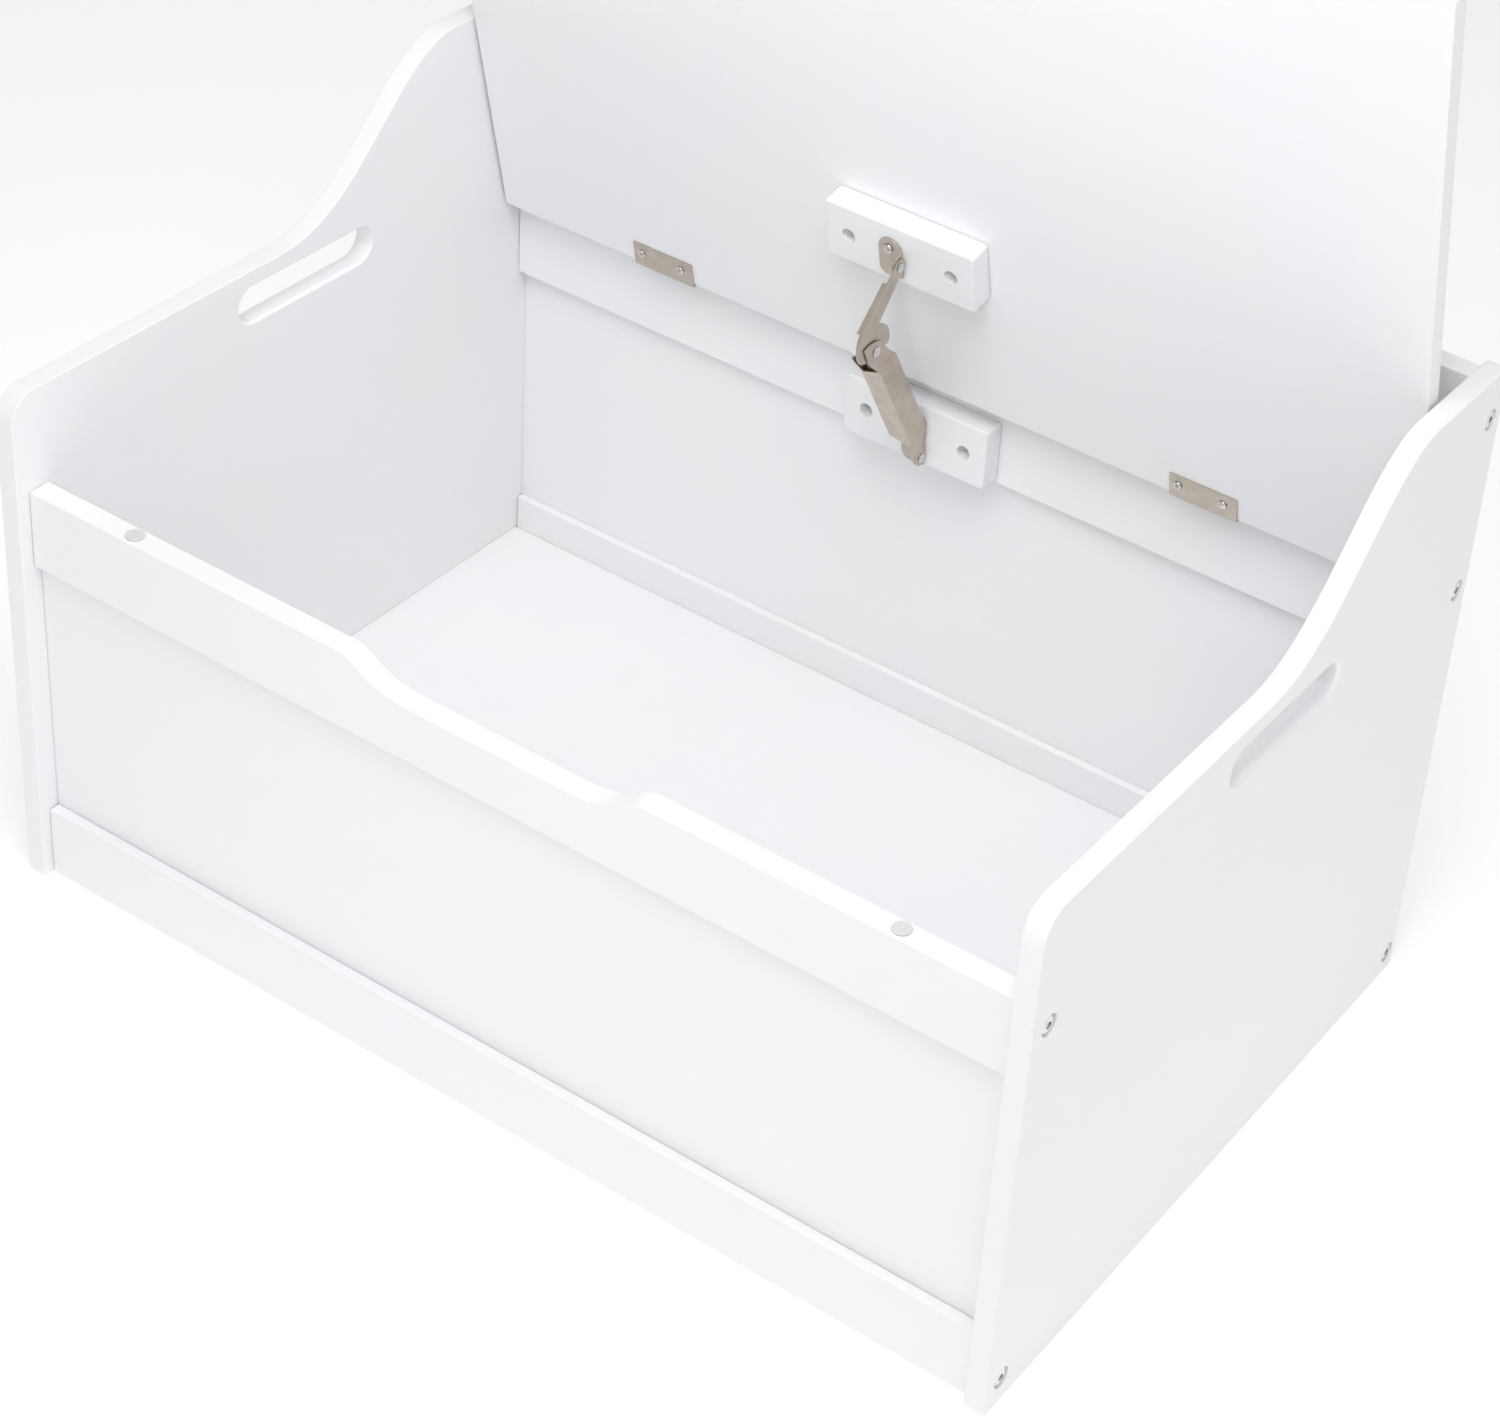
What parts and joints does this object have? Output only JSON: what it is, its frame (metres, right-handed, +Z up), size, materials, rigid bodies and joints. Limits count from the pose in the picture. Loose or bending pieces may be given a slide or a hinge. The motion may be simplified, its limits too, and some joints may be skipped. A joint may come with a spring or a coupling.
{
  "type": "wooden toy box",
  "caption": "White painted wooden toy box with a lift-up lid on butt hinges, a sprung folding lid stay, hand slots in curved side panels and a scooped front rail.",
  "frame": {"origin": "middle of the box's footprint, at floor level", "axes": "+X to the box's right seen from the front, +Y to the back, +Z up"},
  "size_m": [0.84, 0.55, 0.8472],
  "materials": {
    "white_paint": "satin white paint on board",
    "satin_nickel": "satin nickel plate",
    "bright_steel": "bright zinc plate",
    "spring_steel": "oiled spring steel",
    "clear_silicone": "soft translucent pad"
  },
  "bodies": {
    "box": {"back_bottom_rail": "white_paint", "back_panel": "white_paint", "back_top_rail": "white_paint", "base_block": "white_paint", "base_rivet": "bright_steel", "bolt_left_front_low": "bright_steel", "bolt_left_front_top": "bright_steel", "bolt_left_rear_low": "bright_steel", "bolt_left_rear_mid": "bright_steel", "bolt_left_rear_top": "bright_steel", "bolt_right_front_low": "bright_steel", "bolt_right_front_top": "bright_steel", "bolt_right_rear_low": "bright_steel", "bolt_right_rear_mid": "bright_steel", "bolt_right_rear_top": "bright_steel", "bumper_left": "clear_silicone", "bumper_right": "clear_silicone", "floor_panel": "white_paint", "front_bottom_rail": "white_paint", "front_panel": "white_paint", "front_top_rail": "white_paint", "hinge_pin_left": "bright_steel", "hinge_pin_right": "bright_steel", "hinge_rail_leaf_left": "satin_nickel", "hinge_rail_leaf_right": "satin_nickel", "screw_base_block_1": "bright_steel", "screw_base_block_2": "bright_steel", "screw_base_bracket": "bright_steel", "screw_rail_left_1": "bright_steel", "screw_rail_left_2": "bright_steel", "screw_rail_right_1": "bright_steel", "screw_rail_right_2": "bright_steel", "side_panel_left": "white_paint", "side_panel_right": "white_paint", "stay_base_bracket": "satin_nickel"},
    "lid": {"hinge_lid_leaf_left": "satin_nickel", "hinge_lid_leaf_right": "satin_nickel", "lid": "white_paint", "lid_block": "white_paint", "lid_rivet": "bright_steel", "screw_lid_block_1": "bright_steel", "screw_lid_block_2": "bright_steel", "screw_lid_bracket": "bright_steel", "screw_lid_left_1": "bright_steel", "screw_lid_left_2": "bright_steel", "screw_lid_right_1": "bright_steel", "screw_lid_right_2": "bright_steel", "stay_lid_bracket": "satin_nickel"},
    "arm": {"stay_arm": "satin_nickel"},
    "housing": {"stay_housing": "satin_nickel", "stay_spring": "spring_steel", "stay_plunger": "spring_steel", "knee_rivet": "bright_steel"}
  },
  "joints": [
    {"name": "lid_hinge", "type": "hinge", "parent": "box", "child": "lid", "pos_m": [0, 0.2481, 0.3515], "axis": [1, 0, 0], "range_deg": [0, 77]},
    {"name": "housing_pivot", "type": "hinge", "parent": "box", "child": "housing", "pos_m": [0, 0.2235, 0.2945], "axis": [1, 0, 0], "range_deg": [0, 77]},
    {"name": "arm_pivot", "type": "hinge", "parent": "lid", "child": "arm", "pos_m": [0, 0.17471, 0.47824], "axis": [1, 0, 0], "range_deg": [-77, 0]}
  ],
  "couplings": [
    {"joint": "housing_pivot", "follows": "lid_hinge", "ratio": 1},
    {"joint": "arm_pivot", "follows": "lid_hinge", "ratio": -1}
  ]
}
